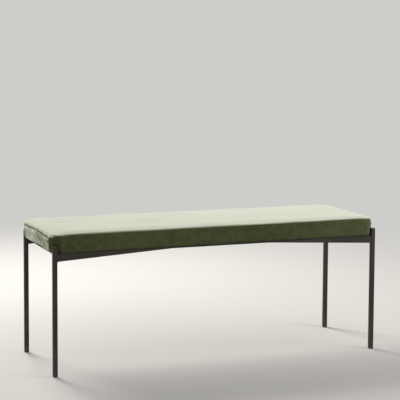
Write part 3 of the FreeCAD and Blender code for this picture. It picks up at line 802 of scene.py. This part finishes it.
def sew_and_crease(mesh):
    """The seam round each end panel with its puckers, the panel's gathers, and pulls over the staples."""
    points = coordinates(mesh)
    outward = normals(mesh)
    run = attribute(mesh, "profile_run")
    from_end = attribute(mesh, "from_end")
    offset = END_OFFSET * np.sign(points[:, 0])
    distance = panel_distance(from_end, run)
    over_seam = from_end * np.sign(points[:, 1]) + offset
    along = np.where(from_end - SEAM_Y < run - SEAM_RUN, over_seam, run + offset)
    pucker = wave(along, PUCKER_PITCH, seed=2.3)
    drift = GATHER_DRIFT * (SEAM_RUN - run) * wave(over_seam, DRIFT_PITCH, seed=7.7)
    gather = wave(over_seam + drift, GATHER_PITCH, seed=5.1)
    on_panel = between(0.001, -0.004, distance)
    fall = GATHER_LEFT + (1 - GATHER_LEFT) * np.exp(-np.clip(SEAM_RUN - run, 0, None) / GATHER_FALL)
    crease = np.clip(1 - np.abs(gather) / CREASE_SHARE, 0, None)
    push = -SEAM_DEPTH * bell(distance, SEAM_WIDTH) * (0.8 + 0.4 * pucker)
    push += WELT_HEIGHT * bell(np.abs(distance) - WELT_PLACE, WELT_WIDTH)
    push += PUCKER_HEIGHT * pucker * np.exp(-np.abs(distance) / PUCKER_REACH)
    push += on_panel * fall * (GATHER_HEIGHT * gather - CREASE_DEPTH * crease)
    pulls = wave(points[:, 0] + points[:, 1] * 0.3, PULL_PITCH, seed=9.7)
    push += (distance > 0.004) * PULL_HEIGHT * pulls * bell(run - SIDE_START - PULL_PLACE, PULL_WIDTH)
    on_top = between(CROWN_START, CROWN_END, run)
    push += (PATCH_HEIGHT - TOP_PATCH_LOSS * on_top) * cloud(points, PATCHES, seed=0.0)
    push += STROKE_HEIGHT * on_top * cloud(points, STROKES, seed=4.2)
    points += outward * (push * between(*HEM_ENDS, run))[:, None]
    points[:, 2] = np.maximum(points[:, 2], PAD_LOW.z)
    clear_of_legs(points)
    keep_attribute(mesh, "seam", np.clip(distance, -0.05, 0.05))
    # Painted light on each end panel: pale all over, darker towards its front as painted shade, with painted
    # shade in its creases and painted light and shade across its gathers.
    to_front = between(*PANEL_FRONT_ENDS, points[:, 1])
    panel_painted_light = (PAINTED_LIGHT_PANEL - PANEL_FRONT_LOSS * to_front) * (
        1 + GATHER_SHADE * gather - CREASE_SHADE * crease * fall)
    pale = np.where(distance < 0, on_panel * panel_painted_light, painted_light_on_wrap(points, outward, run, from_end))
    # Painted shade along the seam's groove, broken by the puckers.
    groove = bell(distance, np.where(run > SEAM_RUN - 0.004, GROOVE_WIDE, GROOVE_NARROW))
    pale *= 1 - GROOVE_SHADE * groove * np.clip(0.62 - 0.55 * pucker, 0.1, 1)
    keep_attribute(mesh, "painted_light", np.clip(pale, 0, 1))
    write_back(mesh, points)


pad = add_piece("seat_pad", woven("seat_pad", pad_grids()))
swell_cover(pad)
settle(pad.data)
smoother = pad.modifiers.new("smoother", "SUBSURF")
smoother.levels = smoother.render_levels = 1
finished(pad)
close_lining(pad.data)
sew_and_crease(pad.data)
shade_smooth(pad.data)

VELVET_DEEP = (0.050, 0.058, 0.021)
VELVET_OLIVE = (0.072, 0.083, 0.034)
# The next two colours are painted sheen, laid over the velvet's own deep olive where the wrap's attribute
# marks it.
VELVET_PAINTED_HALF_SHEEN = (0.160, 0.185, 0.098)
VELVET_PAINTED_SHEEN = (0.455, 0.475, 0.37)
VELVET_SHEEN = (0.93, 0.94, 0.83)
PILE_CLOUDS = 5
PILE_MOTTLE = 42
PILE_STROKES = 24
PILE_TUFTS = 1500
PILE_DEPTH = 0.0006
STROKE_DARK = 0.15
STROKE_PALE = 0.04


def velvet():
    pile = Finish("velvet")
    painted_light = pile.node("Attribute", output="Fac", settings={"attribute_name": "painted_light"})
    broad = pile.grain(PILE_CLOUDS, stretch=(0.35, 1, 1))
    strokes = pile.grain(PILE_STROKES, 3.0, stretch=(0.28, 1, 1), rough=0.62)
    mottle = pile.grain(PILE_MOTTLE, 3.0, rough=0.6)
    shade = pile.blend((broad * 0.5 + mottle * 0.5).smooth(0.38, 0.62), VELVET_DEEP, VELVET_OLIVE)
    # Where the wrap's attribute marks painted sheen and light, the mottled own colour gives way to the paler
    # painted sheen colours; the strokes are the pile's own marks.
    painted_sheen_and_strokes = painted_light * (1 - strokes.smooth(0.50, 0.75) * STROKE_DARK) + strokes.smooth(0.55, 0.8) * STROKE_PALE
    shade = pile.blend(painted_sheen_and_strokes.smooth(0, 0.5), shade, VELVET_PAINTED_HALF_SHEEN)
    shade = pile.blend(painted_sheen_and_strokes.smooth(0.4, 1), shade, VELVET_PAINTED_SHEEN)
    height = pile.grain(PILE_TUFTS) * 0.5 + strokes * 0.6
    return pile.give(Base_Color=shade, Roughness=0.85, Specular_IOR_Level=0.12, Sheen_Weight=1.0,
                     Sheen_Roughness=0.30, Sheen_Tint=VELVET_SHEEN,
                     Normal=pile.bump(height, PILE_DEPTH, 0.5))


pad.data.materials.append(velvet())
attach(pad, "root")
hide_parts("velvet_wrap", "velvet_end_left", "velvet_end_right", "wadding", "foam_block")

# Seam thread: the lockstitch that joins each end panel to the wrap. It shows in the seam's groove, where the
# puckers open it. Each stitch is a short length of thread that lies along the seam.
STITCH_PITCH = 0.0042
STITCH_LENGTH = 0.0034
STITCH_SWAY = math.radians(9)
STITCH_SEED = 4
THREAD = 0.0007
THREAD_OLIVE = (0.060, 0.066, 0.034)
THREAD_DARK = (0.026, 0.029, 0.014)
THREAD_TWISTS = 1500
THREAD_DEPTH = 0.00008


def seam_line(mesh, side):
    """The bottom of the groove round one end panel, from the front hem over the end to the back hem."""
    points = coordinates(mesh)
    run = attribute(mesh, "profile_run")
    from_end = attribute(mesh, "from_end")
    near = (np.abs(attribute(mesh, "seam")) < THREAD) & (run > SIDE_START) & (points[:, 0] * side > 0)
    facing = np.sign(points[:, 1])
    order = np.argsort(((from_end + np.clip(SEAM_RUN - run, 0, None)) * facing)[near])
    line = (points + normals(mesh) * THREAD / 2)[near][order]
    for _ in range(3):
        line[1:-1] = (line[:-2] + 2 * line[1:-1] + line[2:]) / 4
    traced = bpy.data.meshes.new("seam_line")
    traced.from_pydata(line.tolist(), [(k, k + 1) for k in range(len(line) - 1)], [])
    return traced


def grow(tree, kind, settings=None, inputs=None):
    """One node of a bare tree: its settings first, then its sockets' values or links."""
    made = tree.nodes.new(kind)
    for name, value in (settings or {}).items():
        setattr(made, name, value)
    for name, value in (inputs or {}).items():
        if isinstance(value, bpy.types.NodeSocket):
            tree.links.new(value, made.inputs[name])
        else:
            made.inputs[name].default_value = value
    return made.outputs[0] if made.outputs else made


def stitch_tree(material):
    """Short threads laid along a line, one to each pitch."""
    tree = bpy.data.node_groups.new("seam_stitches", "GeometryNodeTree")
    face = tree.interface
    face.new_socket("Geometry", in_out="INPUT", socket_type="NodeSocketGeometry")
    for name in ("Pitch", "Length", "Thread", "Sway"):
        face.new_socket(name, in_out="INPUT", socket_type="NodeSocketFloat")
    face.new_socket("Seed", in_out="INPUT", socket_type="NodeSocketInt")
    face.new_socket("Geometry", in_out="OUTPUT", socket_type="NodeSocketGeometry")
    given = tree.nodes.new("NodeGroupInput").outputs
    line = grow(tree, "GeometryNodeMeshToCurve", inputs={"Mesh": given["Geometry"]})
    places = grow(tree, "GeometryNodeResampleCurve", {"mode": "LENGTH"},
                  {"Curve": line, "Length": given["Pitch"]})
    thread = grow(tree, "GeometryNodeMeshUVSphere", inputs={"Segments": 6, "Rings": 5, "Radius": 0.5})
    sizes = grow(tree, "ShaderNodeCombineXYZ", inputs={"X": given["Length"], "Y": given["Thread"],
                                                       "Z": given["Thread"]})
    way = grow(tree, "FunctionNodeAlignRotationToVector", {"axis": "X"},
               {"Vector": grow(tree, "GeometryNodeInputTangent")})
    laid = grow(tree, "GeometryNodeInstanceOnPoints", inputs={"Points": places, "Instance": thread,
                                                              "Rotation": way, "Scale": sizes})
    back = grow(tree, "ShaderNodeMath", {"operation": "MULTIPLY"}, {0: given["Sway"], 1: -1.0})
    sway = tree.nodes.new("FunctionNodeRandomValue")
    tree.links.new(back, sway.inputs[2])
    tree.links.new(given["Sway"], sway.inputs[3])
    tree.links.new(given["Seed"], sway.inputs["Seed"])
    turn = grow(tree, "ShaderNodeCombineXYZ", inputs={"Z": sway.outputs[1]})
    swayed = grow(tree, "GeometryNodeRotateInstances", inputs={"Instances": laid, "Rotation": turn})
    real = grow(tree, "GeometryNodeRealizeInstances", inputs={"Geometry": swayed})
    shaded = grow(tree, "GeometryNodeSetMaterial", inputs={"Geometry": real, "Material": material})
    grow(tree, "NodeGroupOutput", inputs={"Geometry": shaded})
    return tree


def sewing_thread():
    twist = Finish("sewing_thread")
    x, y, z = twist.along()
    lay = ((x + y * 0.7 + z) * (2 * math.pi * THREAD_TWISTS)).math("SINE")
    return twist.give(Base_Color=twist.blend(lay.smooth(-1, 1), THREAD_DARK, THREAD_OLIVE), Roughness=0.6,
                      Specular_IOR_Level=0.3, Normal=twist.bump(lay, THREAD_DEPTH, 0.6))


TWIST = sewing_thread()
STITCHING = stitch_tree(TWIST)
SOCKETS = {item.name: item.identifier for item in STITCHING.interface.items_tree
           if item.in_out == "INPUT"}
for name, side in SIDES.items():
    thread = add_piece("seam_thread_" + name, seam_line(pad.data, side))
    sewn = thread.modifiers.new("stitches", "NODES")
    sewn.node_group = STITCHING
    for key, value in (("Pitch", STITCH_PITCH), ("Length", STITCH_LENGTH), ("Thread", THREAD),
                       ("Sway", STITCH_SWAY), ("Seed", STITCH_SEED)):
        sewn[SOCKETS[key]] = value
    stitched = finished(thread)
    stitched.materials.clear()
    stitched.materials.append(TWIST)
    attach(thread, "root")

# Dust cover: thin black spun-bonded cloth stapled under the board. The frame's bars press it flat, and it
# hangs a little slack in the two bays between them.
COVER_LOW, COVER_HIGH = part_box("dust_cover")
END_BAR_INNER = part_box("end_bar_right")[0].x
CROSS_BAR_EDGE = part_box("cross_bar")[1].x
RAIL_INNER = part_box("back_rail")[0].y
COVER_CORNER = 0.034
COVER_SAG = 0.0035
SAG_POWER = 0.7             # makes the sag fuller than a sine in the middle of a bay
COVER_THICKNESS = 0.0003
COVER_STEP = 0.011
CRUMPLE = 0.35              # share of the sag
CRUMPLES = (16, 22)         # a metre along and across the bench
FIBRE_BLACK = (0.010, 0.010, 0.010)
FIBRE_GREY = (0.034, 0.034, 0.034)
FIBRES = 900
BOND_DOTS = 620
BOND_DEPTH = 0.0003


def cover_mesh():
    """A grid over the cover's rounded outline, sagging in each bay."""
    reach = Vector((COVER_HIGH.x, COVER_HIGH.y))
    columns = np.linspace(-1, 1, round(2 * reach.x / COVER_STEP))
    rows = np.linspace(-1, 1, round(2 * reach.y / COVER_STEP))
    verts, faces = [], []
    for share_x in columns:
        x = share_x * reach.x
        into = max(0.0, abs(x) - (reach.x - COVER_CORNER))
        deep = reach.y - COVER_CORNER + math.sqrt(max(0.0, COVER_CORNER ** 2 - into ** 2))
        for share_y in rows:
            y = share_y * deep
            bay_x = (abs(x) - CROSS_BAR_EDGE) / (END_BAR_INNER - CROSS_BAR_EDGE)
            bay_y = (y + RAIL_INNER) / (2 * RAIL_INNER)
            sag = 0.0
            if 0 < bay_x < 1 and 0 < bay_y < 1:
                sag = (math.sin(math.pi * bay_x) * math.sin(math.pi * bay_y)) ** SAG_POWER
                crumple = noise.fractal(Vector((x * CRUMPLES[0], y * CRUMPLES[1], 3.3)), 1.0, 2.0, 3)
                sag *= COVER_SAG * (1 + CRUMPLE * crumple)
            verts.append((x, y, (COVER_LOW.z + COVER_HIGH.z) / 2 - sag))
    for i in range(len(columns) - 1):
        for j in range(len(rows) - 1):
            a = i * len(rows) + j
            faces.append((a, a + len(rows), a + len(rows) + 1, a + 1))
    mesh = bpy.data.meshes.new("dust_cover_cloth")
    mesh.from_pydata(verts, [], faces)
    return mesh


def non_woven():
    cloth = Finish("non_woven")
    fibres = cloth.grain(FIBRES, 3.0, stretch=(0.5, 1, 1))
    dots = cloth.node("TexVoronoi", inputs={"Vector": cloth.place(), "Scale": BOND_DOTS})
    return cloth.give(Base_Color=cloth.blend(fibres.smooth(0.3, 0.7), FIBRE_BLACK, FIBRE_GREY),
                      Roughness=0.9, Specular_IOR_Level=0.2, Normal=cloth.bump(dots, BOND_DEPTH, 0.6))


cover = add_piece("dust_cover_cloth", cover_mesh())
thick = cover.modifiers.new("thick", "SOLIDIFY")
thick.thickness = COVER_THICKNESS
thick.offset = 0
finished(cover)
shade_smooth(cover.data)
cover.data.materials.append(non_woven())
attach(cover, "root")
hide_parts("dust_cover")

# Setting: a plain pale floor that fades into a plain pale background, and soft light from a large lamp behind
# the bench a little to the left, a weaker one in front on the right, and an even sky.
FLOOR_COLOUR = (0.60, 0.575, 0.54)
FLOOR_REACH = 30
BACKGROUND = (0.62, 0.61, 0.59)
FADE_START = 1.1
FADE_END = 3.4
SKY_COLOUR = (0.95, 0.97, 1.0)
SKY_STRENGTH = 0.55
LAMP_COLOUR = (1.0, 0.99, 0.97)
LAMP_SIZE = 2.0
BACK_LAMP = (-0.9, 3.2, 2.9)
BACK_LAMP_AIM = (0, 0, 0.4)
BACK_LAMP_WATTS = 190
FRONT_LAMP = (2.6, -1.9, 1.5)
FRONT_LAMP_AIM = (0.3, 0, 0.4)
FRONT_LAMP_WATTS = 39


def seen_plainly(tree):
    """1 for rays from the camera and for reflections, 0 for the light that falls on the bench."""
    rays = tree.nodes.new("ShaderNodeLightPath").outputs
    seen = rays["Is Camera Ray"]
    for name in ("Is Glossy Ray", "Is Transmission Ray"):
        seen = grow(tree, "ShaderNodeMath", {"operation": "ADD", "use_clamp": True}, {0: seen, 1: rays[name]})
    return seen


def floor():
    mesh = bpy.data.meshes.new("floor")
    corners = [(-1, -1), (1, -1), (1, 1), (-1, 1)]
    mesh.from_pydata([(x * FLOOR_REACH, y * FLOOR_REACH, 0) for x, y in corners], [], [(0, 1, 2, 3)])
    ground = add_piece("floor", mesh)
    paint = Finish("floor_paint")
    x, y = paint.along()[:2]
    away = (x * x + y * y).math("SQRT").smooth(FADE_START, FADE_END)
    share = away * Wire(paint, seen_plainly(paint.tree))
    glow = paint.node("Emission", inputs={"Color": BACKGROUND})
    paint.give(Base_Color=FLOOR_COLOUR, Roughness=0.8, Specular_IOR_Level=0.1)
    both = paint.node("MixShader", inputs={0: share, 1: Wire(paint, paint.surface.outputs[0]), 2: glow})
    paint.tree.links.new(both.socket, paint.tree.nodes["Material Output"].inputs["Surface"])
    mesh.materials.append(paint.material)


def sky():
    world = bpy.data.worlds.new("sky")
    world.use_nodes = True
    bpy.context.scene.world = world
    tree = world.node_tree
    even = tree.nodes["Background"]
    even.inputs["Color"].default_value = (*SKY_COLOUR, 1)
    even.inputs["Strength"].default_value = SKY_STRENGTH
    plain = grow(tree, "ShaderNodeBackground", inputs={"Color": (*BACKGROUND, 1)})
    both = grow(tree, "ShaderNodeMixShader", inputs={0: seen_plainly(tree), 1: even.outputs[0], 2: plain})
    tree.links.new(both, tree.nodes["World Output"].inputs["Surface"])


def lamp(name, place, aim, watts):
    light = bpy.data.lights.new(name, "AREA")
    light.shape = "DISK"
    light.size = LAMP_SIZE
    light.energy = watts
    light.color = LAMP_COLOUR
    holder = bpy.data.objects.new(name, light)
    bpy.context.scene.collection.objects.link(holder)
    holder.location = place
    holder.rotation_euler = (Vector(aim) - Vector(place)).to_track_quat("-Z", "Y").to_euler()


floor()
sky()
lamp("back_lamp", BACK_LAMP, BACK_LAMP_AIM, BACK_LAMP_WATTS)
lamp("front_lamp", FRONT_LAMP, FRONT_LAMP_AIM, FRONT_LAMP_WATTS)
bpy.context.scene.view_settings.view_transform = "Standard"

# Camera: it stands to the left of the bench's front and looks a little down on the seat. The picture is cut
# from the lower part of a wider view, which is the small vertical shift.
CAMERA_PLACE = Vector((-1.873, -4.7542, 1.2291))
CAMERA_YAW = math.radians(21.46)
CAMERA_PITCH = math.radians(5.63)
CAMERA_ROLL = math.radians(0.319)
FOCAL_PIXELS = 1443.0
PICTURE_PIXELS = 400.0
VERTICAL_SHIFT = -0.125
SENSOR_MM = 36.0


def place_camera():
    ahead = Vector((math.sin(CAMERA_YAW) * math.cos(CAMERA_PITCH),
                    math.cos(CAMERA_YAW) * math.cos(CAMERA_PITCH), -math.sin(CAMERA_PITCH)))
    level = Vector((math.cos(CAMERA_YAW), -math.sin(CAMERA_YAW), 0))
    upright = level.cross(ahead)
    right = math.cos(CAMERA_ROLL) * level + math.sin(CAMERA_ROLL) * upright
    above = -math.sin(CAMERA_ROLL) * level + math.cos(CAMERA_ROLL) * upright
    lens = bpy.data.cameras.new("camera")
    lens.sensor_width = SENSOR_MM
    lens.lens = FOCAL_PIXELS / PICTURE_PIXELS * SENSOR_MM
    lens.shift_y = VERTICAL_SHIFT
    camera = bpy.data.objects.new("camera", lens)
    bpy.context.scene.collection.objects.link(camera)
    turned = Matrix((right, above, -ahead)).transposed().to_4x4()
    camera.matrix_world = Matrix.Translation(CAMERA_PLACE) @ turned
    bpy.context.scene.camera = camera


place_camera()
